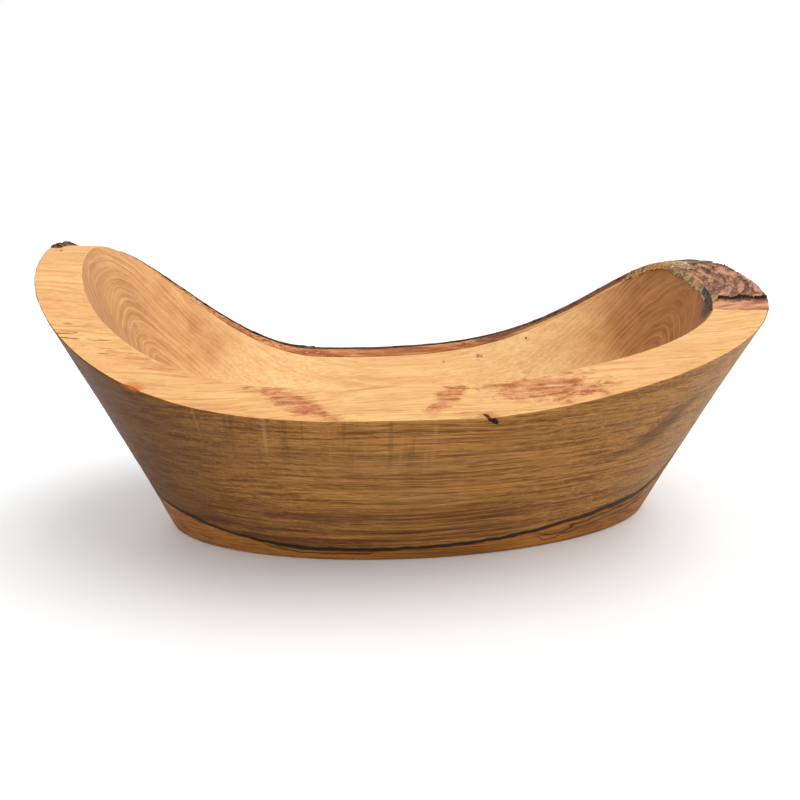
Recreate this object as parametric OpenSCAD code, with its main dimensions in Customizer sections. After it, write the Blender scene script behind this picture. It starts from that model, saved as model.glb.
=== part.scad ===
// Natural-edge bowl, carved by hand from half a log with the bark side up, in millimetres.
//
// The origin is the middle of the flat base. The long axis and the grain run along X, the front
// rim on the -Y side is stripped to bare wood, and the back rim on the +Y side keeps its bark.
//
// Each ring around the bowl is followed by one angle: 0 at the right tip, 90 at the back, 180 at
// the left tip and 270 at the front. A ring is a superellipse, and the rim climbs from its front
// and back to its tips, which makes the saddle of a boat-shaped bowl.

/* [Base] */
// Half the length of the flat base
base_half_length = 109.5; // [98:0.5:118]
// Half the width of the flat base
base_half_width = 50; // [42:0.5:56]

/* [Rim outline] */
// How far the rim's middle lies to the left of the base's middle
rim_shift = 1.5; // [-4:0.5:8]
// From the rim's middle to the left tip
left_reach = 149.5; // [135:0.5:180]
// From the rim's middle to the right tip
right_reach = 147; // [135:0.5:178]
// From the rim's middle to the front edge
front_reach = 83; // [74:1:100]
// From the rim's middle to the back edge
back_reach = 78.5; // [70:0.5:94]
// Fullness of the left half, where 2 is an ellipse
left_fullness = 2.2; // [2:0.01:2.8]
// Fullness of the right half, where 2 is an ellipse
right_fullness = 2.6; // [2:0.01:2.8]

/* [Rim height] */
// Height of the outer edge at the middle of the front
front_height = 70.5; // [58:0.5:84]
// Height of the outer edge at the middle of the back
back_height = 47.5; // [39:0.5:60]
// Height of the left tip
left_height = 117; // [97:1:142]
// Height of the right tip
right_height = 107; // [88:1:130]
// How much the left tip leans: its back shoulder stands this much over its middle
left_lean = 28; // [0:1:34]
// How much the right tip leans: its back shoulder stands this much over its middle
right_lean = 13.5; // [0:0.5:20]
// How far left of the middle the back rim is lowest, as a share of its reach
back_dip = 0.3; // [0:0.02:0.4]
// How far left of the middle the front rim is lowest, as a share of its reach
front_dip = -0.08; // [-0.2:0.02:0.2]

/* [Rim face] */
// Width of the rim at the left tip
left_rim = 17; // [14:0.5:22]
// Width of the rim at the right tip
right_rim = 21; // [16:0.5:28]
// Width of the rim at the front
front_rim = 13.5; // [11:0.5:18]
// Width of the rim at the back
back_rim = 13.5; // [10:0.5:17]
// How much higher the inner edge stands than the outer one, at the front and the back
log_rise = 8.5; // [3:0.5:12]
// How much lower the inner edge stands than the outer one, at the right tip
right_fall = 1.5; // [0:0.5:4]

/* [Hollow] */
// Wood left under the hollow
floor_thickness = 14; // [9:0.5:20]
// Wood left beside the hollow's foot, at the ends
foot_wall = 17; // [12:0.5:22]
// How tightly the wall turns into the floor, where 1 is a plain sweep
turn = 2.4; // [1.2:0.1:4]

/* [Bark] */
// Thickness of the reddish inner bark at the middle of the back
inner_bark = 4.2; // [2:0.2:6]
// Thickness of the dark cork outside it
cork = 1.6; // [0.8:0.2:3]
// Thickness of the rough bark on the right tip
tip_bark = 4; // [2:0.5:6]
// Thickness of the bark sliver on the left tip
sliver_bark = 2.8; // [1:0.2:4]
// Thickness of the lichen on the back's bark, beside the right tip
lichen = 1.2; // [0.6:0.2:3]
// Diameter of the bark pocket in the front edge
pocket_diameter = 6; // [4:0.5:10]

/* [Hidden] */

// Angle between two sections around the bowl, which every layer's ends are multiples of
step = 3;
// How the rim climbs in each quarter, as a power: a higher one stays low for longer
front_left_climb = 2.7;
front_right_climb = 1.5;
back_left_climb = 2;
back_right_climb = 3.6;
// Fullness of the inner edge in each half, and how fast the log's rise fades towards the tips
inner_left_fullness = 2.17;
inner_right_fullness = 2.6;
rise_fade = 1.9;
// Rows of faces up the outer wall, and down the hollow from its edge to the middle of its floor
wall_rows = 6;
hollow_rows = 16;
// Depth of the blank below the base, which the flat cut takes off
base_waste = 4;

// Where each layer starts and ends around the rim, how much of the left tip's width its sliver
// covers, and where the bark pocket sits
right_bark = [-24, 9];
back_bark = [9, 159];
lichen_patch = [9, 36];
left_bark = [159, 180];
flake = [105, 114];
sliver_share = 0.35;
pocket_angle = 273;
// Degrees over which the back's bark and the smaller layers reach their full thickness
back_fade = 36;
small_fade = 9;
// Shares of its thickness that a layer keeps at its thin ends and at its blunt ones
thin_end = 0.15;
blunt_end = 0.3;

// Signed power, which turns a circle into a superellipse
function bend(value, fullness) = sign(value) * pow(abs(value), 2 / fullness);
function blend(start, end, share) = start + (end - start) * share;

// Shares of its reach that a ring has got to at an angle, along X and across it along Y
function along(angle, left_full, right_full) =
    bend(cos(angle), cos(angle) < 0 ? left_full : right_full);
function across(angle, left_full, right_full) =
    bend(sin(angle), cos(angle) < 0 ? left_full : right_full);

function climb(is_left, is_front) =
    is_front ? (is_left ? front_left_climb : front_right_climb)
             : (is_left ? back_left_climb : back_right_climb);

// Height of the rim at those shares, which climbs both ways from its lowest point
function rim_height(lengthwise, crosswise) =
    let (
        is_front = crosswise < 0,
        dip = is_front ? front_dip : back_dip,
        lowest = is_front ? front_height : back_height,
        from_dip = lengthwise + dip,
        is_left = from_dip < 0,
        tip = is_left ? left_height : right_height,
        travelled = abs(from_dip) / (is_left ? 1 - dip : 1 + dip),
        lean = lengthwise < 0 ? left_lean : right_lean
    )
    blend(lowest, tip, pow(travelled, climb(is_left, is_front)))
        + lean * crosswise * lengthwise * lengthwise;

// A point of the rim's outer edge
function outer_edge(angle) =
    let (
        lengthwise = along(angle, left_fullness, right_fullness),
        crosswise = across(angle, left_fullness, right_fullness),
        reach_x = lengthwise < 0 ? left_reach : right_reach,
        reach_y = crosswise < 0 ? front_reach : back_reach
    )
    [reach_x * lengthwise - rim_shift, reach_y * crosswise, rim_height(lengthwise, crosswise)];

// A point of the rim's inner edge
function inner_edge(angle) =
    let (
        lengthwise = along(angle, inner_left_fullness, inner_right_fullness),
        crosswise = across(angle, inner_left_fullness, inner_right_fullness),
        reach_x = lengthwise < 0 ? left_reach - left_rim : right_reach - right_rim,
        reach_y = crosswise < 0 ? front_reach - front_rim : back_reach - back_rim,
        tip_rise = lengthwise < 0 ? 0 : -right_fall,
        rise = blend(log_rise, tip_rise, pow(abs(lengthwise), rise_fade)),
        height = rim_height(lengthwise, crosswise) + rise
    )
    [reach_x * lengthwise - rim_shift, reach_y * crosswise, height];

// A point of the base's edge
function foot(angle) = [base_half_length * cos(angle), base_half_width * sin(angle), 0];
// The same wall line carried on down through the waste under the base
function waste_foot(angle) =
    let (edge = outer_edge(angle))
    foot(angle) + (foot(angle) - edge) * base_waste / edge.z;

// The corner that the hollow's section is drawn towards, and the middle that it ends at
function hollow_corner(angle) =
    [(base_half_length - foot_wall) * cos(angle),
     (base_half_width - foot_wall / 2) * sin(angle),
     floor_thickness];
hollow_middle = [0, 0, floor_thickness];

// A point beyond an edge, on the line that a wall takes up to it
function beyond(start, edge, distance) = edge + (edge - start) * distance / norm(edge - start);
// A point over the rim's face: its share of the way in from the outer edge, and its lift
function over_rim(angle, share, lift) =
    let (
        outside = beyond(foot(angle), outer_edge(angle), lift),
        inside = beyond(hollow_corner(angle), inner_edge(angle), lift)
    )
    blend(outside, inside, share);

// An eased climb from 0 to 1
function eased(share) = share <= 0 ? 0 : share >= 1 ? 1 : sin(90 * share);
// Thickness of a layer at an angle, which thins to a share of itself at its start and its end
function layer(angle, stretch, fade, thickness, at_start, at_end) =
    let (
        from_start = blend(at_start, 1, eased((angle - stretch[0]) / fade)),
        from_end = blend(at_end, 1, eased((stretch[1] - angle) / fade))
    )
    thickness * min(from_start, from_end);

// Lift of the wood's own rim: it is lower where the right tip's bark is let into it
function wood_top(angle) =
    let (turned = angle > 180 ? angle - 360 : angle)
    turned < right_bark[0] || turned > right_bark[1] ? 0
        : -layer(turned, right_bark, small_fade, tip_bark, thin_end, thin_end);
// Lifts of the top of the back's inner bark, of its cork and of the lichen on that
function back_top(angle) = layer(angle, back_bark, back_fade, inner_bark, blunt_end, thin_end);
function cork_top(angle) =
    back_top(angle) + layer(angle, back_bark, back_fade, cork, blunt_end, thin_end);

// The hollow's section: a conic from the inner edge, past the corner, to the middle of the floor
function hollow_point(angle, share) =
    let (
        rim_pull = (1 - share) * (1 - share),
        corner_pull = 2 * turn * share * (1 - share),
        middle_pull = share * share,
        pulled = rim_pull * over_rim(angle, 1, wood_top(angle))
            + corner_pull * hollow_corner(angle) + middle_pull * hollow_middle
    )
    pulled / (rim_pull + corner_pull + middle_pull);

// Triangles between two rings of points, cut along one diagonal or, in one column, the other
function band(first, width, turned_column) =
    [for (column = [0 : width - 1])
        let (
            here = first + column,
            beside = first + (column + 1) % width
        )
        each column == turned_column
            ? [[here, here + width, beside + width], [here, beside + width, beside]]
            : [[here, here + width, beside], [beside, here + width, beside + width]]];
// Triangles between each pair in a stack of rings
function stack(rings, width, turned_column = -1) =
    [for (ring = [0 : rings - 2]) each band(ring * width, width, turned_column)];

// The carved blank: rings up the wall, over the rim and down the hollow, closed at both ends
module carved_blank() {
    angles = [0 : step : 360 - step];
    width = 360 / step;
    rings = 1 + (wall_rows + 1) + hollow_rows;
    waste_ring = [for (angle = angles) waste_foot(angle)];
    wall = [for (row = [0 : wall_rows], angle = angles)
        blend(foot(angle), over_rim(angle, 0, wood_top(angle)), row / wall_rows)];
    hollow = [for (row = [0 : hollow_rows - 1], angle = angles)
        hollow_point(angle, row / hollow_rows)];
    last_ring = (rings - 1) * width;
    floor_fan = [for (column = [0 : width - 1])
        [last_ring + column, rings * width, last_ring + (column + 1) % width]];
    underside = [[for (column = [0 : width - 1]) column]];
    polyhedron(
        concat(waste_ring, wall, hollow, [hollow_middle]),
        concat(underside, stack(rings, width), floor_fan),
        convexity = 8
    );
}

// A layer on the rim's face over a stretch of angles and of the face's width. Two functions of
// the angle lift its lower and upper faces, and both faces are cut along the same diagonals, so
// that layers lie on each other with no gap.
module rim_layer(stretch, share_out, share_in, lower, upper) {
    angles = [stretch[0] : step : stretch[1]];
    sections = 1 + (stretch[1] - stretch[0]) / step;
    last = 4 * (sections - 1);
    points = [for (angle = angles) each [
        over_rim(angle, share_out, lower(angle)),
        over_rim(angle, share_in, lower(angle)),
        over_rim(angle, share_in, upper(angle)),
        over_rim(angle, share_out, upper(angle))
    ]];
    start_face = [[0, 1, 2], [0, 2, 3]];
    end_face = [[last + 2, last + 1, last], [last + 3, last + 2, last]];
    polyhedron(points, concat(start_face, stack(sections, 4, 2), end_face), convexity = 6);
}

// The pocket where bark grew into the front edge, a short round hole through the edge
module pocket_shape() {
    depth = 2 * pocket_diameter;
    translate(outer_edge(pocket_angle) - [0, 0, pocket_diameter / 4])
        rotate([90, 0, 0])
            cylinder(h = depth, d = pocket_diameter, center = true, $fn = 48);
}

// The hollowed and shaped wood, with its base cut flat
module bowl_body() {
    waste_size = 3 * max(left_reach, right_reach);
    color("burlywood")
        difference() {
            carved_blank();
            translate([-waste_size / 2, -waste_size / 2, -2 * base_waste])
                cube([waste_size, waste_size, 2 * base_waste]);
            pocket_shape();
        }
}

// The reddish inner bark that the carver left on the back rim
module bark_back() {
    color("sienna")
        rim_layer(back_bark, 0, 1, function(angle) wood_top(angle), function(angle) back_top(angle));
}

// The dark cork outside the inner bark
module bark_back_cork() {
    color("dimgray")
        rim_layer(back_bark, 0, 1, function(angle) back_top(angle),
            function(angle) cork_top(angle));
}

// A loose flake of old cork on top of the back's bark
module bark_back_flake() {
    color("darkslategray")
        rim_layer(flake, 0, 1, function(angle) cork_top(angle),
            function(angle) cork_top(angle)
                + layer(angle, flake, small_fade, cork, blunt_end, blunt_end));
}

// The rough, cracked bark let into the right tip
module bark_right_tip() {
    color("saddlebrown")
        rim_layer(right_bark, 0, 1, function(angle) wood_top(angle), function(angle) 0);
}

// The thin sliver of bark along the outside of the left tip
module bark_left_tip() {
    color("darkslategray")
        rim_layer(left_bark, 0, sliver_share, function(angle) 0,
            function(angle) layer(angle, left_bark, small_fade, sliver_bark, blunt_end, thin_end));
}

// The pale crust of lichen on the back's bark, beside the right tip
module lichen_crust() {
    color("lightgray")
        rim_layer(lichen_patch, 0, 1, function(angle) cork_top(angle),
            function(angle) cork_top(angle)
                + layer(angle, lichen_patch, small_fade, lichen, blunt_end, blunt_end));
}

// The dark plug of bark in the front edge, flush with the wood around it
module bark_inclusion() {
    color("saddlebrown")
        intersection() {
            carved_blank();
            pocket_shape();
        }
}

bowl_body();
bark_back();
bark_back_cork();
bark_back_flake();
bark_right_tip();
bark_left_tip();
lichen_crust();
bark_inclusion();
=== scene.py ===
import math

import bpy
import numpy as np
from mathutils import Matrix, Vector, noise


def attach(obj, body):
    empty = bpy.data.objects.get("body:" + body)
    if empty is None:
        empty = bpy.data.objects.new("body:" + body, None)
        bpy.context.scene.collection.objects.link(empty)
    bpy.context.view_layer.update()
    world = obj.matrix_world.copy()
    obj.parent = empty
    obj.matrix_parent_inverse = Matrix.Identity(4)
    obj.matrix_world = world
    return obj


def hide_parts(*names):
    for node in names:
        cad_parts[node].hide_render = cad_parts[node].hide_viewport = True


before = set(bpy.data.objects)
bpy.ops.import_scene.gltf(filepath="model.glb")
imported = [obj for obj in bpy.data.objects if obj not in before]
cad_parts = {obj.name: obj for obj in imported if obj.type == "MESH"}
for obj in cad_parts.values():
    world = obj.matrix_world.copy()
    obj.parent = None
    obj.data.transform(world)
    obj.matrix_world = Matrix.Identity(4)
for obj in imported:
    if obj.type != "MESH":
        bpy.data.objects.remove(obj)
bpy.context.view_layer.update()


# ---- The bowl itself -------------------------------------------------------------------------
# One piece of honey-coloured hardwood, cut from a log with its bark side up, flared outside,
# hollowed with gouges and sanded. The pith ran along X, so the growth rings show as nested
# arches inside the two ends and as long lines along the sides.

# Reaches from the middle of the base, widths of the rim and heights, in metres; angles in degrees
BASE_REACH = (0.1095, 0.050)
RIM_SHIFT = 0.0015
LEFT, RIGHT, FRONT, BACK = 0.1495, 0.147, 0.083, 0.0785
LEFT_RIM, RIGHT_RIM, FRONT_RIM, BACK_RIM = 0.017, 0.021, 0.0135, 0.0135
OUTER_FULLNESS, INNER_FULLNESS = (2.2, 2.6), (2.17, 2.6)
FRONT_HEIGHT, BACK_HEIGHT, LEFT_HEIGHT, RIGHT_HEIGHT = 0.0705, 0.0475, 0.117, 0.107
FRONT_DIP, BACK_DIP = -0.08, 0.3
LEFT_LEAN, RIGHT_LEAN = 0.028, 0.0135
LOG_RISE, RIGHT_FALL = 0.0085, 0.0015
FRONT_CLIMB, BACK_CLIMB = (2.7, 1.5), (2.0, 3.6)
RISE_FADE = 1.9
FLOOR_WOOD, FOOT_WALL, TURN = 0.014, 0.017, 2.4
RIGHT_BARK, TIP_BARK = (-24, 9), 0.004
TIP_FADE, THIN_END = 9, 0.15


def bend(value, fullness):
    """A signed power, which turns a circle into a superellipse."""
    return np.sign(value) * np.abs(value) ** (2 / fullness)


def ring_shares(angle, fullness):
    """Shares of its reach that a ring has got to at an angle in degrees, along X and Y."""
    along, across = np.cos(np.radians(angle)), np.sin(np.radians(angle))
    full = np.where(along < 0, fullness[0], fullness[1])
    return bend(along, full), bend(across, full)


def rim_height(along, across):
    """Height of the rim at those shares: it climbs both ways from its lowest point."""
    front = across < 0
    dip = np.where(front, FRONT_DIP, BACK_DIP)
    from_dip = along + dip
    left = from_dip < 0
    lowest = np.where(front, FRONT_HEIGHT, BACK_HEIGHT)
    tip = np.where(left, LEFT_HEIGHT, RIGHT_HEIGHT)
    climb = np.where(front, np.where(left, *FRONT_CLIMB), np.where(left, *BACK_CLIMB))
    travelled = np.abs(from_dip) / np.where(left, 1 - dip, 1 + dip)
    lean = np.where(along < 0, LEFT_LEAN, RIGHT_LEAN)
    return lowest + (tip - lowest) * travelled**climb + lean * across * along**2


def outer_edge(angle):
    """A point of the rim's outer edge."""
    along, across = ring_shares(angle, OUTER_FULLNESS)
    reach_x = np.where(along < 0, LEFT, RIGHT)
    reach_y = np.where(across < 0, FRONT, BACK)
    height = rim_height(along, across)
    return np.stack([reach_x * along - RIM_SHIFT, reach_y * across, height], -1)


def inner_edge(angle):
    """A point of the rim's inner edge, which lies a little higher than the outer one."""
    along, across = ring_shares(angle, INNER_FULLNESS)
    reach_x = np.where(along < 0, LEFT - LEFT_RIM, RIGHT - RIGHT_RIM)
    reach_y = np.where(across < 0, FRONT - FRONT_RIM, BACK - BACK_RIM)
    tip_rise = np.where(along < 0, 0, -RIGHT_FALL)
    rise = LOG_RISE + (tip_rise - LOG_RISE) * np.abs(along) ** RISE_FADE
    height = rim_height(along, across) + rise
    return np.stack([reach_x * along - RIM_SHIFT, reach_y * across, height], -1)


def foot(angle):
    """A point of the flat base's edge, where the outer wall starts."""
    turn = np.radians(angle)
    return np.stack([BASE_REACH[0] * np.cos(turn), BASE_REACH[1] * np.sin(turn), 0 * turn], -1)


def hollow_corner(angle):
    """The corner between wall and floor that the hollow's curve is drawn towards."""
    turn = np.radians(angle)
    reach_x, reach_y = BASE_REACH[0] - FOOT_WALL, BASE_REACH[1] - FOOT_WALL / 2
    return np.stack([reach_x * np.cos(turn), reach_y * np.sin(turn), 0 * turn + FLOOR_WOOD], -1)


def beyond(start, edge, lift):
    """A point beyond an edge, on the line that a wall takes up to it."""
    wall = edge - start
    return edge + wall / np.linalg.norm(wall, axis=-1)[..., None] * np.asarray(lift)[..., None]


def over_rim(angle, share, lift):
    """A point over the rim's face: its share of the way in from the outer edge, and its lift."""
    outside = beyond(foot(angle), outer_edge(angle), lift)
    inside = beyond(hollow_corner(angle), inner_edge(angle), lift)
    return outside + (inside - outside) * np.asarray(share)[..., None]


def layer(angle, stretch, fade, thickness, at_start, at_end):
    """Thickness of a layer at an angle, which thins towards the two ends of its stretch."""
    from_start = np.sin(np.pi / 2 * np.clip((angle - stretch[0]) / fade, 0, 1))
    from_end = np.sin(np.pi / 2 * np.clip((stretch[1] - angle) / fade, 0, 1))
    kept = np.minimum(at_start + (1 - at_start) * from_start, at_end + (1 - at_end) * from_end)
    return thickness * kept


def wood_top(angle):
    """Lift of the wood's own rim, which is lower where the right tip's bark is let into it."""
    turned = np.where(np.asarray(angle) > 180, np.asarray(angle) - 360, angle)
    inside = (turned >= RIGHT_BARK[0]) & (turned <= RIGHT_BARK[1])
    let_in = layer(turned, RIGHT_BARK, TIP_FADE, TIP_BARK, THIN_END, THIN_END)
    return np.where(inside, -let_in, 0.0)


def hollow_point(angle, share):
    """A point of the hollow, from the inner edge at share 0 to the middle of the floor at 1."""
    rim, corner, middle = (1 - share) ** 2, 2 * TURN * share * (1 - share), share**2
    pulled = rim * over_rim(angle, 1, wood_top(angle)) + corner * hollow_corner(angle)
    return (pulled + middle * np.array([0, 0, FLOOR_WOOD])) / (rim + corner + middle)


def spaced_angles(count):
    """Angles whose points lie evenly along the rim's outer edge."""
    fine = np.linspace(0, 360, 7201)
    steps = np.linalg.norm(np.diff(outer_edge(fine), axis=0), axis=1)
    travelled = np.concatenate([[0], np.cumsum(steps)])
    return np.interp(np.arange(count) / count * travelled[-1], travelled, fine)


def rounded(before, corner, after, radius, count):
    """Rows that round a corner between two walls, as a small curve."""
    into = corner + (before - corner) / np.linalg.norm(before - corner, axis=-1)[:, None] * radius
    out = corner + (after - corner) / np.linalg.norm(after - corner, axis=-1)[:, None] * radius
    shares = np.linspace(0, 1, count)
    return [into * (1 - t) ** 2 + corner * 2 * t * (1 - t) + out * t**2 for t in shares]


def between(start, end, count):
    """Rows spaced evenly between two rings, without the rings themselves."""
    return [start + (end - start) * (k + 1) / (count + 1) for k in range(count)]


def new_mesh(name, points, faces):
    mesh = bpy.data.meshes.new(name)
    mesh.from_pydata(points.tolist(), [], faces)
    mesh.validate()
    mesh.update()
    mesh.shade_smooth()
    thing = bpy.data.objects.new(name, mesh)
    bpy.context.scene.collection.objects.link(thing)
    return thing


def tube_faces(rows, columns):
    """Faces of a tube of rings of points, with a flat cap over each end."""
    row, column = np.meshgrid(np.arange(rows - 1), np.arange(columns), indexing="ij")
    here = row * columns + column
    beside = row * columns + (column + 1) % columns
    sides = np.stack([here, beside, beside + columns, here + columns], -1).reshape(-1, 4)
    last = (rows - 1) * columns
    caps = [list(range(columns))[::-1], list(range(last, last + columns))]
    return sides.tolist() + caps


def store(thing, name, values):
    """Keeps one number for each of a mesh's points, for its material to read."""
    kept = thing.data.attributes.new(name, "FLOAT", "POINT")
    kept.data.foreach_set("value", np.asarray(values, np.float32).ravel())


def lumps(points, stretch, seed, octaves=3):
    """Fractal noise at some points, about -1 to 1, with its features per metre along X, Y, Z."""
    spread = points * np.array(stretch) + seed
    return np.array([noise.fractal(Vector(p), 0.9, 2.0, octaves) for p in spread])


def normals_of(thing):
    """The normal at each of a mesh's points."""
    flat = np.empty(len(thing.data.vertices) * 3, np.float32)
    thing.data.vertices.foreach_get("normal", flat)
    return flat.reshape(-1, 3)


def push(thing, points, amounts):
    """Sets a mesh's points to these ones, moved along its normals."""
    moved = points + normals_of(thing) * np.asarray(amounts)[:, None]
    thing.data.vertices.foreach_set("co", moved.ravel())
    thing.data.update()


def sunk(points, amounts):
    """Points let down by some amounts, so that a layer dives into the piece that it lies on."""
    return points - np.array([0, 0, 1]) * np.asarray(amounts)[:, None]


def dome(points, centre, reach):
    """1 at a centre, easing to 0 at its reach along X, Y and Z."""
    away = np.linalg.norm((points - np.array(centre)) / np.array(reach), axis=1)
    return np.clip(1 - away, 0, 1) ** 0.6


class Wire:
    """One output in a material's nodes. Sums on it add Math nodes to the same material."""

    def __init__(self, tree, output=None):
        self.tree = tree
        self.output = output

    def node(self, kind, settings, sockets, output=0):
        """Adds a node: its settings first, then the values or links of its sockets."""
        made = self.tree.nodes.new("ShaderNode" + kind)
        for name, value in settings.items():
            setattr(made, name, value)
        for name, value in sockets.items():
            if isinstance(value, Wire):
                self.tree.links.new(value.output, made.inputs[name])
            else:
                made.inputs[name].default_value = value
        return Wire(self.tree, made.outputs[output])

    def math(self, operation, *values):
        return self.node("Math", {"operation": operation}, dict(enumerate(values)))

    def __add__(self, other):
        return self.math("ADD", self, other)

    def __sub__(self, other):
        return self.math("SUBTRACT", self, other)

    def __rsub__(self, other):
        return self.math("SUBTRACT", other, self)

    def __mul__(self, other):
        return self.math("MULTIPLY", self, other)

    def __truediv__(self, other):
        return self.math("DIVIDE", self, other)

    def __pow__(self, other):
        return self.math("POWER", self, other)

    def __abs__(self):
        return self.math("ABSOLUTE", self)

    __radd__ = __add__
    __rmul__ = __mul__

    def fraction(self):
        """What is left over its whole number."""
        return self.math("FRACT", self)

    def lower_of(self, other):
        return self.math("MINIMUM", self, other)

    def higher_of(self, other):
        return self.math("MAXIMUM", self, other)

    def step(self, start, end):
        """Eases from 0 at one value to 1 at another, which may be the lower one."""
        flipped = start > end
        eased = self.node(
            "MapRange", {"interpolation_type": "SMOOTHSTEP"},
            {"Value": self, "From Min": min(start, end), "From Max": max(start, end)},
        )
        return 1 - eased if flipped else eased

    def window(self, start, end, soft):
        """1 between two values, easing to 0 outside them."""
        return self.step(start - soft, start) * self.step(end + soft, end)

    def mix(self, first, second, share):
        """Goes from one colour to another by a share from 0 to 1."""
        return self.node("Mix", {"data_type": "RGBA"}, {0: share, 6: first, 7: second}, 2)

    def tinted(self, tone, share):
        """This colour with another laid over it by a share from 0 to 1."""
        return self.mix(self, tone, share)

    def stretched(self, x, y, z, shift=0.0):
        """This place stretched along X, Y and Z, and moved by a shift."""
        scaled = self.node("VectorMath", {"operation": "MULTIPLY"}, {0: self, 1: (x, y, z)})
        return self.node("VectorMath", {"operation": "ADD"}, {0: scaled, 1: (shift, shift, shift)})

    def noise(self, x, y, z, detail=2.0, rough=0.5, shift=0.0, output=0):
        """Noise with its features per metre set along X, Y and Z."""
        place = self.stretched(x, y, z, shift)
        levels = {"Vector": place, "Scale": 1.0, "Detail": detail, "Roughness": rough}
        return self.node("TexNoise", {}, levels, output)

    def moved(self, other, amount):
        """This place moved by a noise's colour, by up to half the amount either way."""
        centred = self.node("VectorMath", {"operation": "SUBTRACT"}, {0: other, 1: (0.5, 0.5, 0.5)})
        scaled = self.node("VectorMath", {"operation": "MULTIPLY"}, {0: centred, 1: amount})
        return self.node("VectorMath", {"operation": "ADD"}, {0: self, 1: scaled})

    def parts(self):
        """Its X, Y and Z."""
        return [self.node("SeparateXYZ", {}, {0: self}, k) for k in range(3)]

    def kept(self, name):
        """A number that a mesh keeps at each of its points."""
        return self.node("Attribute", {"attribute_name": name}, {}, "Fac")


def colour(red, green, blue):
    """A colour given as it looks, 0 to 255, in the linear light that shaders work in."""
    shares = [c / 255 for c in (red, green, blue)]
    linear = [c / 12.92 if c <= 0.04045 else ((c + 0.055) / 1.055) ** 2.4 for c in shares]
    return (*linear, 1)


def new_finish(name, specular=0.22):
    """A new material: its shader, and the place on the piece that its patterns start from."""
    material = bpy.data.materials.new(name)
    material.use_nodes = True
    shader = material.node_tree.nodes["Principled BSDF"]
    shader.inputs["Specular IOR Level"].default_value = specular
    return material, shader, Wire(material.node_tree).node("TexCoord", {}, {}, "Object")


def finish(shader, place, tint, roughness, height, depth):
    """Joins what varies over the surface to the shader: colour, roughness and relief."""
    relief = place.node("Bump", {}, {"Height": height, "Strength": 1.0, "Distance": depth})
    place.tree.links.new(tint.output, shader.inputs["Base Color"])
    place.tree.links.new(roughness.output, shader.inputs["Roughness"])
    place.tree.links.new(relief.output, shader.inputs["Normal"])


AROUND = 560
FOOT_ROUND, OUTER_ROUND, INNER_ROUND = 0.0012, 0.0007, 0.0006
UNDER, WALL, RIM, HOLLOW = 0, 1, 2, 3

angles = spaced_angles(AROUND)
base_edge = foot(angles)
top_edge = over_rim(angles, 0, wood_top(angles))
lip_edge = over_rim(angles, 1, wood_top(angles))
first_hollow = hollow_point(angles, 0.02)

rows, zones = [], []


def add_rows(new_rows, zone):
    """Adds rings to the bowl's skin, each marked with the zone of the bowl it belongs to."""
    rows.extend(new_rows)
    zones.extend([zone] * len(new_rows))


add_rows([base_edge * share for share in (0.02, 0.2, 0.4, 0.6, 0.8, 0.93)], UNDER)
add_rows(rounded(base_edge * 0, base_edge, top_edge, FOOT_ROUND, 5), WALL)
add_rows(between(rows[-1], top_edge, 50), WALL)
outer_round = rounded(base_edge, top_edge, lip_edge, OUTER_ROUND, 6)
add_rows(outer_round[:4], WALL)
add_rows(outer_round[4:], RIM)
add_rows(between(rows[-1], lip_edge, 14), RIM)
inner_round = rounded(top_edge, lip_edge, first_hollow, INNER_ROUND, 6)
add_rows(inner_round[:2], RIM)
add_rows(inner_round[2:], HOLLOW)
add_rows([hollow_point(angles, share) for share in np.linspace(0.02, 0.985, 52)], HOLLOW)

skin = np.array(rows).reshape(-1, 3)
zone = np.repeat(zones, AROUND)
bowl = new_mesh("bowl", skin, tube_faces(len(rows), AROUND))

# Gouge and sander marks, a bruised and chipped front edge, and the seat of the bark pocket
CHIP_AT, CHIP_REACH, CHIP_DEPTH = (-0.106, -0.063, 0.0795), (0.0055, 0.004, 0.0022), 0.0013
SEAT_AT, SEAT_REACH, SEAT_DEPTH = (0.0140, -0.0824, 0.0702), (0.0045, 0.0026, 0.0026), 0.0007
edge_height = outer_edge(np.tile(angles, len(rows)))[:, 2]
near_edge = np.exp(-(((skin[:, 2] - edge_height) / 0.0015) ** 2)) * (zone != HOLLOW)
above_foot = np.clip(skin[:, 2] / 0.004, 0, 1)
tool_marks = 0.00016 * lumps(skin, (22, 60, 34), 3.1) * (zone == WALL) * above_foot
tool_marks += 0.00016 * lumps(skin, (30, 45, 80), 7.7) * (zone == HOLLOW)
tool_marks += 0.00012 * lumps(skin, (60, 90, 60), 12.4) * (zone == RIM)
bruises = 0.0004 * lumps(skin, (110, 110, 40), 5.2) * near_edge
chip = dome(skin, CHIP_AT, CHIP_REACH)
pocket_seat = dome(skin, SEAT_AT, SEAT_REACH)
push(bowl, skin, tool_marks + bruises - CHIP_DEPTH * chip - SEAT_DEPTH * pocket_seat)
store(bowl, "rim", zone == RIM)
store(bowl, "hollow", zone == HOLLOW)
store(bowl, "chip", chip)
store(bowl, "pocket_seat", pocket_seat)
store(bowl, "near_edge", near_edge)
store(bowl, "end_grain", np.abs(normals_of(bowl)[:, 0]))

wood, wood_shader, place = new_finish("honey_wood", 0.12)
x, y, z = place.parts()
on_rim, in_hollow, end_grain = (place.kept(name) for name in ("rim", "hollow", "end_grain"))

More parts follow.
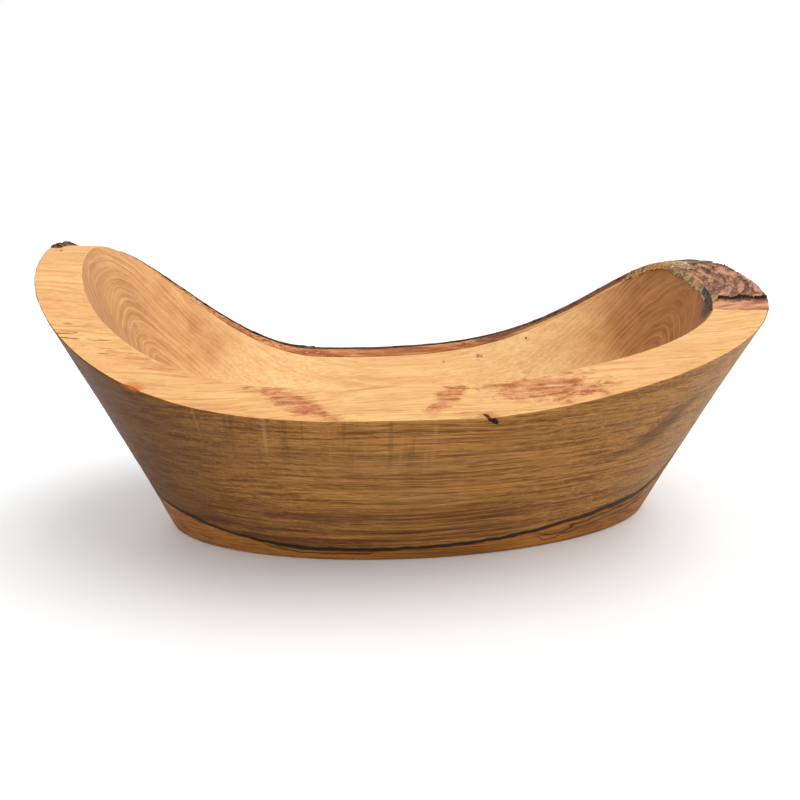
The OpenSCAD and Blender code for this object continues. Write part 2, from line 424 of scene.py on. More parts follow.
# Fine wavy fibres along the log, in long streaks and in hair lines, and the rags of its stains
wander = place.noise(9, 26, 26, 2.0, output=1)
bent = place.moved(wander, (0, 0.010, 0.010))
wavy = bent.moved(place.noise(34, 90, 90, 2.0, shift=4.0, output=1), (0, 0.0022, 0.0022))
straight = place.moved(place.noise(12, 30, 30, 2.0, shift=14.0, output=1), (0, 0.006, 0.006))
fibre = wavy.noise(17, 980, 620, 4.0, 0.74, 1.7)
wall_fibre = straight.noise(10, 150, 880, 4.0, 0.76, 1.7)
hair = straight.noise(85, 1700, 1500, 3.0, 0.75, 8.2)
cloud = bent.noise(14, 44, 44, 4.0, 0.62, 5.5)
streak = wavy.noise(11, 300, 190, 4.0, 0.66, 2.9)
wall_streak = straight.noise(8, 60, 270, 4.0, 0.68, 6.9)
ragged = wavy.noise(150, 380, 280, 4.0, 0.72, 3.3)

# Growth rings about the pith of a log that sags in its middle, as the rim does: each is a pale
# line, then wood that darkens slowly
PITH_SIDE, PITH_DRIFT = 0.0085, -0.04
PITH_HEIGHT, PITH_SAG = 0.010, 4.1
RING = 0.0027
bent_x, bent_y, bent_z = bent.parts()
sideways = bent_y - PITH_SIDE - PITH_DRIFT * bent_x
upwards = bent_z - PITH_HEIGHT - PITH_SAG * x * x
from_pith = (sideways**2 + upwards**2) ** 0.5
ring_count = from_pith / RING + 1.5 * place.noise(6, 60, 60, 2.0, shift=9.0)
ring_place = ring_count.fraction()
ring_dark = ring_place.step(0.05, 0.34) * (0.45 + 0.55 * ring_place)
ring_line = ring_place.step(0.22, 0.05) * ring_place.step(0.0, 0.03)
half_year = (2.7 * ring_count + 0.5).fraction()
years = place.noise(3, 150, 150, 2.0, 0.6, 51.0)
along_rings = place.node("CombineXYZ", {}, {"X": 1000 * from_pith, "Y": 16 * x, "Z": 16 * y})
ring_grain = along_rings.noise(1, 1, 1, 4.0, 0.72, 2.0)
ring_show = place.noise(24, 60, 60, 3.0, shift=15.0).step(0.36, 0.62)


def highest(shares):
    """The highest of several shares at each place."""
    top, *others = shares
    for other in others:
        top = top.higher_of(other)
    return top


def patch(centre, reach, turn):
    """1 in a stain seen from above, easing to 0 over its ragged edge. Its turn is in degrees."""
    along_x, along_y = math.cos(math.radians(turn)), math.sin(math.radians(turn))
    from_x, from_y = x - centre[0], y - centre[1]
    long_way = (from_x * along_x + from_y * along_y) / reach[0]
    short_way = (from_y * along_x - from_x * along_y) / reach[1]
    away = (long_way**2 + short_way**2) ** 0.5 + (ragged - 0.5) * 2.6
    return away.step(1.25, 0.45)


def spot(centre, radius):
    """1 at a small mark anywhere on the piece, easing to 0 at its edge."""
    away = place.node("VectorMath", {"operation": "DISTANCE"}, {0: place, 1: centre}, 1)
    return away.step(radius * 1.25, radius * 0.55)


# Pale sanded rim with reddish stains, where bark grew close under the surface
rim_tint = place.mix(colour(224, 178, 118), colour(204, 150, 92), fibre.step(0.40, 0.66))
rim_tint = rim_tint.tinted(colour(190, 128, 76), 0.24 * streak.step(0.54, 0.70))
rim_tint = rim_tint.tinted(colour(212, 152, 100), 0.45 * cloud.step(0.46, 0.66))
rim_tint = rim_tint.tinted(colour(168, 106, 56), 0.48 * hair.step(0.53, 0.68))
stains = highest((
    patch((-0.0515, -0.0715), (0.0165, 0.0040), -29),
    patch((0.0010, -0.0748), (0.0080, 0.0040), 38),
    patch((0.0365, -0.0735), (0.0215, 0.0056), -2),
    patch((0.0158, -0.0703), (0.0030, 0.0016), 40) * 0.7,
))
soft_stains = highest((
    patch((-0.0970, -0.0530), (0.0250, 0.0027), -17),
    patch((0.0080, -0.0814), (0.0070, 0.0016), 0),
    patch((-0.0840, -0.0680), (0.0300, 0.0040), -24) * 0.6,
))
scratches = wavy.noise(60, 900, 700, 3.0, 0.75, 21.0)
faint = soft_stains * (0.25 + 0.75 * (0.5 * scratches + 0.5 * hair).step(0.44, 0.56))
rim_tint = rim_tint.tinted(colour(184, 116, 76), 0.75 * faint)
scored = 0.34 + 0.66 * (0.5 * ragged + 0.5 * scratches).step(0.53, 0.42)
rim_tint = rim_tint.tinted(colour(196, 124, 82), 0.50 * stains)
rim_tint = rim_tint.tinted(colour(152, 76, 46), 0.88 * stains * scored)
rim_tint = rim_tint.tinted(colour(236, 186, 132), 0.7 * stains * scratches.step(0.60, 0.66))
in_seat = place.kept("pocket_seat").step(0.0, 0.5)
rim_tint = rim_tint.tinted(colour(150, 92, 60), 0.5 * in_seat)

# Short drying checks near the left tip
check_zone = patch((-0.1250, -0.0425), (0.0150, 0.0062), -8)
check_lines = abs(wavy.noise(34, 420, 80, 1.0, 0.5, 33.0) - 0.5).step(0.024, 0.008)
checks = check_zone * check_lines * place.noise(120, 60, 60, 1.0, shift=40.0).step(0.42, 0.55)
rim_tint = rim_tint.tinted(colour(84, 40, 16), 0.95 * checks)

# Hollow: honey along the sides, browner at the ends where the rings are cut across, with painted
# shade over the right end and the front of the left end
side_tint = place.mix(colour(238, 204, 148), colour(226, 178, 120), fibre.step(0.40, 0.70))
side_tint = side_tint.tinted(colour(206, 148, 92), 0.38 * streak.step(0.52, 0.70))
side_tint = side_tint.tinted(colour(200, 142, 88), 0.30 * ring_dark * years.step(0.40, 0.60))
dark_years = ring_dark * years.step(0.25, 0.75)
ring_tone = (0.55 * dark_years + 0.55 * ring_grain.step(0.38, 0.62)).lower_of(1.0)
light_end = place.mix(colour(228, 178, 120), colour(180, 126, 78), ring_tone)
light_end = light_end.tinted(colour(186, 132, 84), 0.25 * half_year)
light_end = light_end.tinted(colour(164, 110, 66), 0.50 * cloud.step(0.46, 0.70))
left_shade = x.step(-0.084, -0.122) * y.step(0.030, -0.020)
light_end = light_end.tinted(colour(164, 118, 84), 0.60 * left_shade)
# Painted shade: a darker copy of the end grain for the right end, whose wall faces away from the
# key light
shaded_right_end = place.mix(colour(190, 134, 82), colour(124, 78, 42), ring_tone)
end_tint = place.mix(light_end, shaded_right_end, x.step(0.079, 0.122))
end_tint = end_tint.tinted(colour(236, 190, 136), 0.30 * ring_line * ring_show)
at_end = (end_grain + 0.35 * cloud).step(0.52, 1.00) * z.step(0.046, 0.070)
hollow_tint = place.mix(side_tint, end_tint, at_end)
right_shade = x.step(0.095, 0.122) * (0.25 + 0.2 * fibre)
hollow_tint = hollow_tint.tinted(colour(132, 82, 44), right_shade)
hollow_tint = hollow_tint.tinted(colour(150, 96, 52), 0.26 * hair.step(0.53, 0.70))
borer_holes = highest((
    spot((0.0671, 0.0574, 0.0658), 0.0007),
    spot((0.0422, 0.0604, 0.0560), 0.0012) * 0.7,
    spot((0.0440, 0.0604, 0.0556), 0.0010) * 0.7,
    spot((0.0240, 0.0620, 0.0530), 0.0009) * 0.4,
))
hollow_tint = hollow_tint.tinted(colour(120, 70, 34), 0.9 * borer_holes)
dead_wood = spot((0.1205, -0.0275, 0.0975), 0.0085) * (0.55 + ragged).lower_of(1.0)
hollow_tint = hollow_tint.tinted(colour(70, 60, 52), 0.9 * dead_wood)

# Outer wall, brown with darker streaks and a few greyer clouds: its darkness is partly weathering
# and partly painted shade, as the wall faces down and away from the light
wall_tint = place.mix(colour(166, 114, 54), colour(112, 68, 26), wall_fibre.step(0.40, 0.64))
wall_tint = wall_tint.tinted(colour(86, 46, 16), 0.55 * wall_streak.step(0.52, 0.68))
wall_tint = wall_tint.tinted(colour(122, 88, 48), 0.35 * cloud.step(0.50, 0.66))
wall_tint = wall_tint.tinted(colour(186, 142, 90), 0.55 * hair.step(0.47, 0.32))
wall_tint = wall_tint.tinted(colour(62, 34, 14), 0.60 * hair.step(0.54, 0.68))
# Painted shade over the left part of the wall and painted light over the right part, the side that
# the key light comes from
wall_tint = wall_tint.tinted(colour(64, 32, 6), 0.74 * x.step(-0.040, -0.115))
wall_tint = wall_tint.tinted(colour(180, 142, 98), 0.30 * x.step(0.060, 0.130))
# Painted highlight and painted shade of the saw facets in the upper left of the wall, in pale and
# dark vertical bands
saw_marks = place.noise(230, 5, 16, 2.0, 0.6, 61.0)
upper_left = x.window(-0.092, -0.010, 0.016) * z.step(0.040, 0.062) * y.step(-0.030, -0.050)
saw_facet_highlight = upper_left * saw_marks.step(0.60, 0.68)
saw_facet_shade = upper_left * saw_marks.step(0.42, 0.34)
wall_tint = wall_tint.tinted(colour(180, 136, 88), 0.30 * saw_facet_highlight)
wall_tint = wall_tint.tinted(colour(78, 50, 26), 0.28 * saw_facet_shade)
low_band = z.window(0.011, 0.028, 0.006) * x.window(-0.080, 0.020, 0.030)
low_streaks = low_band * wall_streak.step(0.40, 0.60)
wall_tint = wall_tint.tinted(colour(70, 34, 12), 0.62 * low_streaks)
dragged = patch((0.0850, -0.0600), (0.0200, 0.0040), 0) * z.window(0.052, 0.066, 0.008)
wall_tint = wall_tint.tinted(colour(70, 46, 26), 0.6 * dragged)

# The dark line of the heartwood near the base, thick and thin, that forks towards both ends,
# with golden wood below it
HEART_LOWEST, HEART_CLIMBS = (-0.030, 0.0063), 0.090
from_lowest = x - HEART_LOWEST[0]
arch = from_lowest**2 * (2.2 - 1.33 * from_lowest.step(-0.005, 0.005))
right_climb = 34.0 * (x - HEART_CLIMBS).higher_of(0.0) ** 2
wobble = place.noise(30, 30, 30, 3.0, 0.6, 11.0)
jagged = place.noise(120, 120, 120, 2.0, 0.7, 71.0)
over_smooth = z - HEART_LOWEST[1] - arch - right_climb
over_line = over_smooth + (wobble - 0.5) * 0.0044 + (jagged - 0.5) * 0.0012
thick_and_thin = place.noise(22, 22, 60, 2.0, shift=17.0)
line_width = 0.0004 + 0.0018 * thick_and_thin + 0.0008 * x.step(0.04, 0.08)
heart_line = (abs(over_line) / line_width).step(1.2, 0.35)
fork_left = x.window(-0.064, -0.026, 0.006)
second = over_line + 0.0024 * fork_left
heart_line = heart_line.higher_of(fork_left * 0.8 * abs(second).step(0.0006, 0.0002))
fork_right = x.window(0.050, 0.120, 0.012)
zigzag = place.noise(55, 55, 90, 2.0, 0.6, 27.0)
third = over_line + fork_right * (0.0022 + 0.0090 * (zigzag - 0.32))
heart_line = heart_line.higher_of(fork_right * 0.8 * abs(third).step(0.0008, 0.0002))
fourth = over_line + fork_right * (0.0068 + 0.0060 * (wobble - 0.5))
heart_line = heart_line.higher_of(fork_right * 0.7 * abs(fourth).step(0.0007, 0.0001))
golden = place.mix(colour(160, 102, 38), colour(104, 60, 20), wall_fibre.step(0.40, 0.66))
golden = golden.tinted(colour(184, 124, 58), 0.5 * cloud.step(0.50, 0.72))
heart_tint = place.mix(wall_tint, golden, over_line.step(0.0002, -0.0012))
outer_end = end_grain.step(0.60, 0.92)
heart_tint = heart_tint.tinted(colour(84, 48, 20), 0.50 * ring_tone * outer_end)
heart_tint = heart_tint.tinted(colour(26, 14, 8), 0.95 * heart_line)
old_edge = place.kept("near_edge") * x.step(-0.138, -0.146)
heart_tint = heart_tint.tinted(colour(70, 46, 30), 0.8 * old_edge)

wood_tint = place.mix(heart_tint, rim_tint, on_rim)
wood_tint = wood_tint.tinted(hollow_tint, in_hollow)
wood_tint = wood_tint.tinted(colour(196, 104, 40), place.kept("chip"))

relief = 0.30 * fibre + 0.35 * hair + 0.10 * ring_dark * end_grain - 0.9 * checks * on_rim
finish(wood_shader, place, wood_tint, 0.40 + 0.24 * fibre, relief, 0.0004)
bowl.data.materials.append(wood)
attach(bowl, "root")
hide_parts("bowl_body")

# ---- Inner bark on the back rim --------------------------------------------------------------
# The reddish, fibrous inner bark that the carver left on along the whole back rim. It grew on the
# wood, and it is cut flush with the wall outside and with the hollow inside.

BACK_BARK, BACK_FADE, BLUNT_END = (9, 159), 36, 0.3
INNER_BARK, CORK = 0.0042, 0.0016


def back_layer(angle, thickness):
    """Thickness at an angle of a layer of the back's bark."""
    return layer(angle, BACK_BARK, BACK_FADE, thickness, BLUNT_END, THIN_END)


def back_top(angle):
    return back_layer(angle, INNER_BARK)


def cork_top(angle):
    return back_top(angle) + back_layer(angle, CORK)


def bark_top(angle):
    """Top of the inner bark, which stands higher in its cork along the left half."""
    share = 0.65 * np.clip((angle - 58) / 14, 0, 1)
    return back_top(angle) + share * (cork_top(angle) - back_top(angle))


def section_loop(side, top):
    """Shares across a layer and up it for one loop round it: up, over, down and back under."""
    up, over = np.linspace(0, 1, side, endpoint=False), np.linspace(0, 1, top, endpoint=False)
    under = np.linspace(0, 1, 4, endpoint=False)
    across = np.concatenate([0 * up, over, 1 + 0 * up, 1 - under])
    rise = np.concatenate([up, 1 + 0 * over, 1 - up, 0 * under])
    return across, rise


def rim_strip(name, stretch, count, loop, shares, lower, upper, crown=0.25):
    """A closed layer on the rim over a stretch of angles, with a rounded top. Gives its mesh, its
    points, how far across the layer and up it each of them lies, and each one's angle."""
    across, rise = section_loop(*loop)
    fine = np.linspace(*stretch, 2001)
    steps = np.linalg.norm(np.diff(outer_edge(fine % 360), axis=0), axis=1)
    travelled = np.concatenate([[0], np.cumsum(steps)])
    turned = np.interp(np.linspace(0, 1, count) * travelled[-1], travelled, fine)[:, None]
    low, high = lower(turned), upper(turned)
    lift = low + (high - low) * rise * (1 - crown * np.abs(2 * across - 1) ** 6)
    points = over_rim(turned % 360, shares[0] + (shares[1] - shares[0]) * across, lift)
    points = points.reshape(-1, 3)
    strip = new_mesh(name, points, tube_faces(count, len(across)))
    turned = np.repeat(turned[:, 0], len(across))
    across, rise = np.tile(across, count), np.tile(rise, count)
    store(strip, "across", across)
    store(strip, "rise", rise)
    return strip, points, across, rise, turned


def near_right_end(turned, reach):
    """1 at the right end of the back's bark, falling to 0 over a reach in degrees."""
    return 1 - np.clip((turned - BACK_BARK[0]) / reach, 0, 1)


bark, bark_skin, _, rise, turned = rim_strip(
    "inner_bark", BACK_BARK, 620, (8, 16), (0, 1), lambda a: 0 * a - 0.0002, bark_top
)
fibres = 0.0003 * lumps(bark_skin, (60, 420, 420), 2.2)
fibres += 0.0003 * lumps(bark_skin, (30, 90, 90), 8.8)
bark_skin = sunk(bark_skin, (rise > 0) * 0.0024 * near_right_end(turned, 7) ** 1.5)
push(bark, bark_skin, (rise > 0) * fibres * back_layer(turned, 1) ** 0.5)

bark_finish, bark_shader, place = new_finish("reddish_inner_bark")
x, rise = place.parts()[0], place.kept("rise")
threads = place.noise(30, 700, 700, 3.0, 0.65)
flecks = place.noise(260, 900, 900, 2.0, 0.6, 5.0)
blotch = place.noise(24, 70, 70, 3.0, 0.6, 9.0)
bark_tint = place.mix(colour(214, 152, 100), colour(142, 86, 56), threads.step(0.38, 0.66))
bark_tint = bark_tint.tinted(colour(158, 92, 62), 0.7 * blotch.step(0.42, 0.62))
bark_tint = bark_tint.tinted(colour(214, 160, 112), 0.7 * flecks.step(0.60, 0.72))
purple = x.step(0.030, 0.055) * (0.5 + threads).lower_of(1.0)
bark_tint = bark_tint.tinted(colour(100, 66, 56), 0.75 * purple)
still_wood = (rise + 0.35 * (blotch - 0.5)).step(0.55, 0.42)
pale_low = still_wood * x.step(0.050, 0.075).higher_of(x.step(-0.085, -0.110))
bark_tint = bark_tint.tinted(colour(222, 170, 108), 0.9 * pale_low)
finish(bark_shader, place, bark_tint, 0.70 + 0.25 * flecks, 0.6 * threads + 0.5 * flecks, 0.0006)
bark.data.materials.append(bark_finish)
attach(bark, "root")
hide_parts("bark_back")

# ---- Cork on the back rim --------------------------------------------------------------------
# The thin dark outer bark, grown on top of the inner bark. It is dry, furrowed along the log and
# broken at its edges.


def frayed(skin, turned, stretch, reach, seed):
    """Share of a layer that is left near the two ragged ends of its stretch of angles."""
    from_end = np.minimum(turned - stretch[0], stretch[1] - turned) / reach
    return np.clip(1.6 * from_end + 0.9 * lumps(skin, (160, 160, 160), seed), 0, 1)


def furrowed(skin, seed):
    """Relief of old bark, 0 in its furrows and 1 on its plates, which run along the log."""
    folds = np.abs(lumps(skin, (24, 170, 110), seed, 3))
    splits = np.abs(lumps(skin, (75, 230, 150), seed + 5.0, 3))
    return np.clip(folds / 0.16, 0, 1) * (0.55 + 0.45 * np.clip(splits / 0.10, 0, 1))


def cork_finish(name, dark, grey, brown):
    """Old outer bark: dark furrows between grey and brown plates."""
    material, shader, place = new_finish(name)
    plate = place.kept("plate")
    scales = place.noise(60, 210, 210, 3.0, 0.7, 6.0)
    crumbs = place.noise(420, 900, 900, 3.0, 0.7, 3.0)
    tint = place.mix(grey, brown, scales.step(0.42, 0.60))
    tint = place.mix(dark, tint, plate.step(0.10, 0.95) * (0.35 + 1.1 * crumbs).lower_of(1.0))
    finish(shader, place, tint, 0.78 + 0.2 * crumbs, 0.8 * crumbs + 0.4 * scales, 0.0008)
    return material


cork, cork_skin, across, rise, turned = rim_strip(
    "cork", BACK_BARK, 620, (4, 30), (0, 0.99), lambda a: bark_top(a) - 0.0006, cork_top, 0.35
)
plates = furrowed(cork_skin, 4.4)
left = frayed(cork_skin, turned, BACK_BARK, 4, 9.1)
right_end = near_right_end(turned, 9)
cork_skin = sunk(cork_skin, (rise > 0) * (0.0036 * right_end**1.5 + 0.0010 * (1 - left)))
worn = 0.8 * np.clip((across - 0.75) / 0.15, 0, 1)
relief = (0.0008 * plates - 0.0007) * (1 - worn)
push(cork, cork_skin, (rise > 0) * relief * back_layer(turned, 1))
browner = 0.8 * np.clip((cork_skin[:, 0] - 0.03) / 0.03, 0, 1) * (across > 0.75)
store(cork, "plate", np.maximum(plates, np.maximum(browner, right_end)))
cork.data.materials.append(
    cork_finish("dark_cork", colour(34, 26, 22), colour(122, 106, 92), colour(92, 64, 48))
)
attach(cork, "root")
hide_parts("bark_back_cork")

# ---- Loose flake of old cork -----------------------------------------------------------------
# An old scale of nearly black cork, as thick again as the layer that it lies on. It still holds
# on by itself at the lowest part of the back rim, and its edges have broken away.

FLAKE, FLAKE_FADE = (105, 114), 9


def flake_top(angle):
    return cork_top(angle) + layer(angle, FLAKE, FLAKE_FADE, CORK, BLUNT_END, BLUNT_END)


flake, flake_skin, across, rise, turned = rim_strip(
    "cork_flake", FLAKE, 70, (5, 26), (0, 1), lambda a: cork_top(a) - 0.0004, flake_top, 0.6
)
plates = furrowed(flake_skin, 1.9)
from_side = np.minimum(across + 0.1, 1.2 - across) / 0.35
side_lumps = 0.8 * lumps(flake_skin, (130, 130, 130), 12.0)
left = frayed(flake_skin, turned, FLAKE, 3, 6.4)
left = np.minimum(left, np.clip(1.2 * from_side + side_lumps, 0, 1))
flake_skin = sunk(flake_skin, (rise > 0) * 0.0020 * (1 - left))
push(flake, flake_skin, (rise > 0) * (0.0005 * plates - 0.0002))
store(flake, "plate", plates)
flake.data.materials.append(
    cork_finish("old_cork", colour(16, 14, 14), colour(78, 74, 72), colour(52, 42, 36))
)
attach(flake, "root")
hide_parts("bark_back_flake")

# ---- Rough bark on the right tip -------------------------------------------------------------
# The log's own bark, let into the right tip and sanded off level with the rim: reddish ridges
# that run round the tip, one long open crack, and a smoother pink edge against the front wood.

CRACK_FROM, CRACK_SLOPE = (0.123, -0.0290), -0.29
TIP_MIDDLE, TIP_RADIUS = 0.100, 0.06

tip, tip_skin, across, rise, _ = rim_strip(
    "right_tip_bark", RIGHT_BARK, 230, (10, 60), (0, 1),
    lambda a: wood_top(a % 360) - 0.0003, lambda a: 0 * a, 0.06,
)
crack_line = CRACK_FROM[1] + CRACK_SLOPE * (tip_skin[:, 0] - CRACK_FROM[0])
crack_line += 0.0010 * lumps(tip_skin, (330, 8, 8), 6.6, 4)
crack_width = 0.00045 + 0.00040 * lumps(tip_skin, (260, 20, 20), 3.6, 4)
from_crack = (tip_skin[:, 1] - crack_line) / np.maximum(crack_width, 0.0002)
crack = np.exp(-(from_crack**2)) * (tip_skin[:, 0] > CRACK_FROM[0] - 0.0015)
smooth_side = np.clip((crack_line - 0.0008 - tip_skin[:, 1]) / 0.0016, 0, 1)
round_tip = np.stack([
    np.hypot(tip_skin[:, 0] - TIP_MIDDLE, tip_skin[:, 1]),
    np.arctan2(tip_skin[:, 1], TIP_RADIUS),
    tip_skin[:, 2],
], -1)
ridges = lumps(round_tip, (360, 5, 60), 2.7, 4)
gaps = np.exp(-((lumps(round_tip, (260, 6, 60), 14.2, 3) / 0.05) ** 2))
on_top = (rise == 1) & (across > 0.02) & (across < 0.98)
height = 0.00035 * ridges * (1 - 0.7 * smooth_side) - 0.0007 * gaps * (1 - smooth_side) * on_top
push(tip, tip_skin, (rise > 0) * (height - 0.0002 - 0.0020 * crack * on_top))
store(tip, "crack", np.maximum(crack, 0.5 * gaps * (1 - smooth_side)))
store(tip, "ridge", ridges)
store(tip, "smooth_side", smooth_side)

tip_finish, tip_shader, place = new_finish("ridged_bark")
y, rise, across = place.parts()[1], place.kept("rise"), place.kept("across")
ridge, crack, smooth_side = place.kept("ridge"), place.kept("crack"), place.kept("smooth_side")
grit = place.noise(420, 900, 500, 3.0, 0.65)
bands = place.noise(40, 260, 120, 3.0, 0.6, 7.0)
uneven = (ridge + 0.5 * (grit - 0.5)).step(-0.28, 0.26)
tip_tint = place.mix(colour(106, 72, 56), colour(184, 134, 98), uneven)
tip_tint = tip_tint.tinted(colour(140, 96, 84), 0.6 * bands.step(0.46, 0.60))
pink_edge = place.mix(colour(206, 142, 108), colour(150, 92, 74), bands.step(0.42, 0.60))
tip_tint = tip_tint.tinted(pink_edge, smooth_side)
tip_tint = tip_tint.tinted(colour(226, 172, 116), 0.7 * grit.step(0.58, 0.70))
side_wood = place.mix(colour(196, 150, 98), colour(120, 100, 78), bands.step(0.42, 0.62))
grey_pocket = place.mix(colour(60, 54, 50), colour(110, 102, 94), grit.step(0.45, 0.68))
inner_side = across.step(0.96, 1.0) * rise.step(0.99, 0.90)
side_tint = place.mix(side_wood, grey_pocket, y.window(-0.036, -0.014, 0.002))
tip_tint = tip_tint.tinted(side_tint, inner_side)
tip_tint = tip_tint.tinted(colour(26, 14, 10), 0.95 * crack.step(0.12, 0.55))
finish(tip_shader, place, tip_tint, 0.68 + 0.25 * grit, 0.7 * grit + 0.5 * bands, 0.0006)
tip.data.materials.append(tip_finish)
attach(tip, "root")
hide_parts("bark_right_tip")

# ---- Bark sliver on the left tip -------------------------------------------------------------
# A thin grey-brown sliver of bark along the outside of the left tip, split by dark cracks. It grew
# on the wood there, and was left on when the rim was sanded.

LEFT_BARK, LEFT_FADE, SLIVER = (159, 177), 13, 0.0021

sliver, sliver_skin, across, rise, turned = rim_strip(
    "left_tip_bark", LEFT_BARK, 200, (6, 30), (0, 0.35), lambda a: 0 * a - 0.0003,
    lambda a: layer(a, LEFT_BARK, LEFT_FADE, SLIVER, BLUNT_END, 0.05), 0.8,
)
splits = np.exp(-((lumps(sliver_skin, (14, 230, 90), 5.5) / 0.07) ** 2))
rough = 0.0002 * lumps(sliver_skin, (30, 260, 160), 1.1)
side_lumps = 0.7 * lumps(sliver_skin, (200, 200, 200), 7.0)
left = frayed(sliver_skin, turned, LEFT_BARK, 4, 2.6)
left = np.minimum(left, np.clip(2 - 2 * across + side_lumps, 0, 1))
sliver_skin = sunk(sliver_skin, (rise > 0) * (0.0002 + 0.0018 * (1 - left)))
push(sliver, sliver_skin, (rise > 0) * (rough - 0.0005 * splits * (rise > 0.5)))
store(sliver, "split", splits)

sliver_finish, sliver_shader, place = new_finish("grey_bark")
split = place.kept("split")
weather = place.noise(60, 420, 300, 3.0, 0.65, 2.0)
grit = place.noise(500, 900, 900, 2.0, 0.6, 4.0)
sliver_tint = place.mix(colour(160, 122, 82), colour(84, 58, 38), weather.step(0.38, 0.60))
sliver_tint = sliver_tint.tinted(colour(206, 174, 132), 0.5 * grit.step(0.58, 0.70))
sliver_tint = sliver_tint.tinted(colour(36, 24, 16), 0.90 * split.step(0.30, 0.80))
finish(sliver_shader, place, sliver_tint, 0.75 + 0.2 * grit, 0.6 * weather + 0.5 * grit, 0.0005)
sliver.data.materials.append(sliver_finish)
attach(sliver, "root")
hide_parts("bark_left_tip")

# ---- Lichen on the bark ----------------------------------------------------------------------
# A crumbly crust of grey-green and whitish lichen where the back's bark meets the right tip. It
# grows in lobes, so much of its sheet is buried and the bark shows between them.

LICHEN_PATCH = (-11, 32)
COLONY_AT, COLONY_REACH = (0.1265, 0.001, 0.106), (0.020, 0.022, 0.014)


def lichen_ground(angle):
    """What the lichen lies on: the cork, and from there down to the right tip's bark."""
    meets = np.clip((angle - 6) / 5, 0, 1)
    return cork_top(np.maximum(angle, BACK_BARK[0])) * meets


lichen, lichen_skin, across, rise, turned = rim_strip(
    "lichen", LICHEN_PATCH, 240, (14, 60), (0.35, 1.03),
    lambda a: lichen_ground(a) - 0.0034, lichen_ground, 0.1,
)
lobes = lumps(lichen_skin, (230, 230, 230), 8.1, 4)
colony = dome(lichen_skin, COLONY_AT, COLONY_REACH)
dry = np.clip((turned - BACK_BARK[0]) / 10, 0, 1)
left = frayed(lichen_skin, turned, LICHEN_PATCH, 9, 4.7)
left *= np.clip(3 * (across + 0.02 - 0.65 * dry) + 1.6 * lobes, 0, 1)
lichen_skin = sunk(lichen_skin, (rise > 0) * (0.0003 * dry + 0.0028 * (1 - left)))
crust = 0.0009 * lobes * (1 - 0.75 * dry) + 0.0009 * np.maximum(colony, 0.3 * dry)
crust = np.clip(crust - 0.0001 - 0.0004 * dry, -0.0012, 0.0010)
push(lichen, lichen_skin, (rise > 0) * crust)
store(lichen, "colony", colony)

lichen_finish, lichen_shader, place = new_finish("crusty_lichen")
thriving = place.kept("colony")
grain = place.noise(700, 700, 700, 3.0, 0.75, 2.0)
white_lobes = place.noise(150, 150, 150, 3.0, 0.6, 13.0)
dry_tint = place.mix(colour(206, 162, 108), colour(146, 106, 66), grain.step(0.38, 0.64))
living_tint = place.mix(colour(176, 162, 126), colour(112, 98, 70), grain.step(0.42, 0.58))
living_tint = living_tint.tinted(colour(226, 220, 200), 0.80 * white_lobes.step(0.52, 0.64))
grows = (thriving + 0.7 * (white_lobes - 0.5)).step(0.20, 0.50)
lichen_tint = place.mix(dry_tint, living_tint, grows)
lichen_tint = lichen_tint.tinted(colour(52, 40, 28), 0.70 * grain.step(0.40, 0.32))
finish(lichen_shader, place, lichen_tint, 0.85 + 0.15 * grain, grain, 0.0010)
lichen.data.materials.append(lichen_finish)
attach(lichen, "root")
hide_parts("lichen_crust")

# ---- Bark pocket in the front edge -----------------------------------------------------------
# A dark plug of bark that the tree grew round, cut through by the front edge. It is dry and has
# shrunk away from the wood round it.

POCKET_AT, POCKET_REACH = np.array((0.0144, -0.0819, 0.0700)), np.array((0.0030, 0.0010, 0.0011))
POCKET_TILT = math.radians(-32)
PLUG_ROWS, PLUG_AROUND = 30, 48

around_pocket, up_pocket = np.meshgrid(
    np.linspace(0, 2 * np.pi, PLUG_AROUND, endpoint=False), np.linspace(-1.5, 1.5, PLUG_ROWS)
)
ball = np.stack([
    np.cos(up_pocket) * np.cos(around_pocket),
    np.cos(up_pocket) * np.sin(around_pocket),
    np.sin(up_pocket),
], -1).reshape(-1, 3)
wedge = np.stack([1 + 0 * ball[:, 0], 0.75 + 0.35 * ball[:, 0], 0.75 + 0.35 * ball[:, 0]], -1)
blocky = np.sign(ball) * np.abs(ball) ** 0.8 * POCKET_REACH * wedge
leaning = np.stack([
    blocky[:, 0] * math.cos(POCKET_TILT) + blocky[:, 1] * math.sin(POCKET_TILT) * 0.3,
    blocky[:, 1] + blocky[:, 0] * math.sin(POCKET_TILT) * 0.55,
    blocky[:, 2] + blocky[:, 0] * math.sin(POCKET_TILT) * 0.75,
], -1)
plug_skin = POCKET_AT + leaning
plug = new_mesh("bark_plug", plug_skin, tube_faces(PLUG_ROWS, PLUG_AROUND))
knots = lumps(plug_skin, (500, 500, 500), 3.0)
push(plug, plug_skin, 0.0005 * knots)
store(plug, "knot", knots)

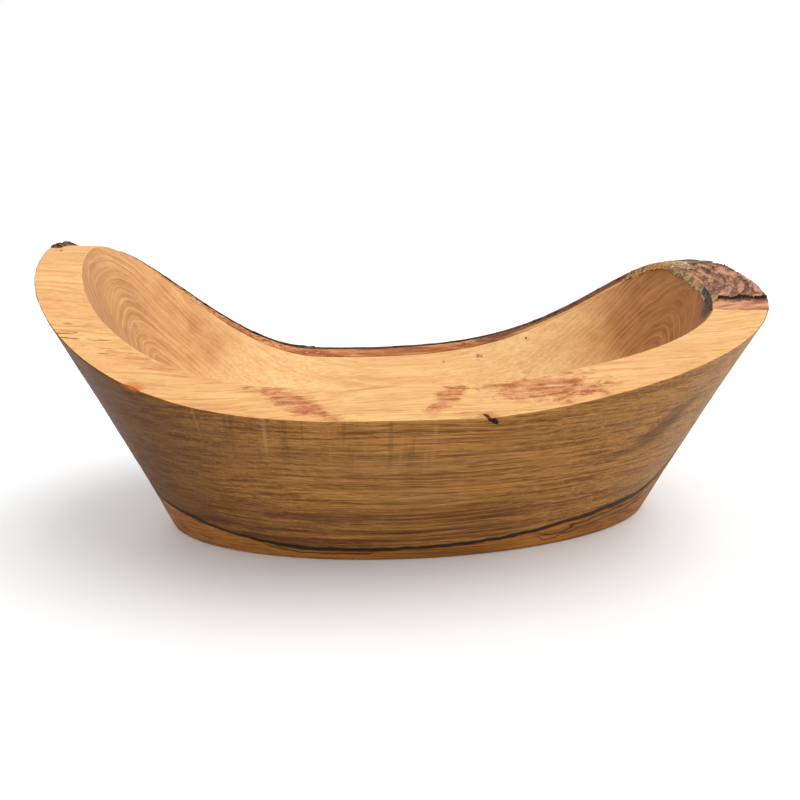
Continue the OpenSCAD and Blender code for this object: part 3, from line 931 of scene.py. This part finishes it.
plug_finish, plug_shader, place = new_finish("pocket_bark")
knot = place.kept("knot")
crumb = place.noise(900, 900, 900, 3.0, 0.7)
plug_tint = place.mix(colour(30, 12, 8), colour(104, 50, 34), (knot + crumb - 0.5).step(-0.1, 0.6))
finish(plug_shader, place, plug_tint, 0.75 + 0.2 * crumb, crumb, 0.0006)
plug.data.materials.append(plug_finish)
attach(plug, "root")
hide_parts("bark_inclusion")

# ---- Floor, light and camera -----------------------------------------------------------------
# A pale floor under soft light from above and to the right, and the camera a little above the
# rim in front.

FAR = 4
floor_mesh = bpy.data.meshes.new("floor")
floor_corners = [(-FAR, -FAR, 0), (FAR, -FAR, 0), (FAR, FAR, 0), (-FAR, FAR, 0)]
floor_mesh.from_pydata(floor_corners, [], [(0, 1, 2, 3)])
floor = bpy.data.objects.new("floor", floor_mesh)
bpy.context.scene.collection.objects.link(floor)
pale, pale_shader, _ = new_finish("pale_floor")
pale_shader.inputs["Roughness"].default_value = 0.6
pale_shader.inputs["Base Color"].default_value = (0.86, 0.86, 0.86, 1)
floor.data.materials.append(pale)

KEY_FROM = Vector((0.42, -0.10, 0.90))
sun = bpy.data.lights.new("soft_key", "SUN")
sun.energy = 1.5
sun.angle = math.radians(50)
key = bpy.data.objects.new("soft_key", sun)
key.rotation_euler = KEY_FROM.to_track_quat("Z", "Y").to_euler()
bpy.context.scene.collection.objects.link(key)

world = bpy.data.worlds.new("studio")
bpy.context.scene.world = world
world.use_nodes = True
sky = world.node_tree.nodes["Background"]
sky.inputs["Color"].default_value = (1, 1, 1, 1)
sky.inputs["Strength"].default_value = 1.0
bpy.context.scene.view_settings.view_transform = "Standard"

VIEW_TURN, VIEW_LIFT, VIEW_DISTANCE = math.radians(-6.6), math.radians(17.4), 0.3242
view_target = Vector((-0.0066, 0.0007, 0.0517))
view_back = Vector((
    math.sin(VIEW_TURN) * math.cos(VIEW_LIFT),
    -math.cos(VIEW_TURN) * math.cos(VIEW_LIFT),
    math.sin(VIEW_LIFT),
))
camera = bpy.data.objects.new("camera", bpy.data.cameras.new("camera"))
camera.location = view_target + view_back * VIEW_DISTANCE
camera.rotation_euler = (-view_back).to_track_quat("-Z", "Y").to_euler()
camera.data.sensor_width = 36
camera.data.lens = 32.46
camera.data.clip_start = 0.01
bpy.context.scene.collection.objects.link(camera)
bpy.context.scene.camera = camera
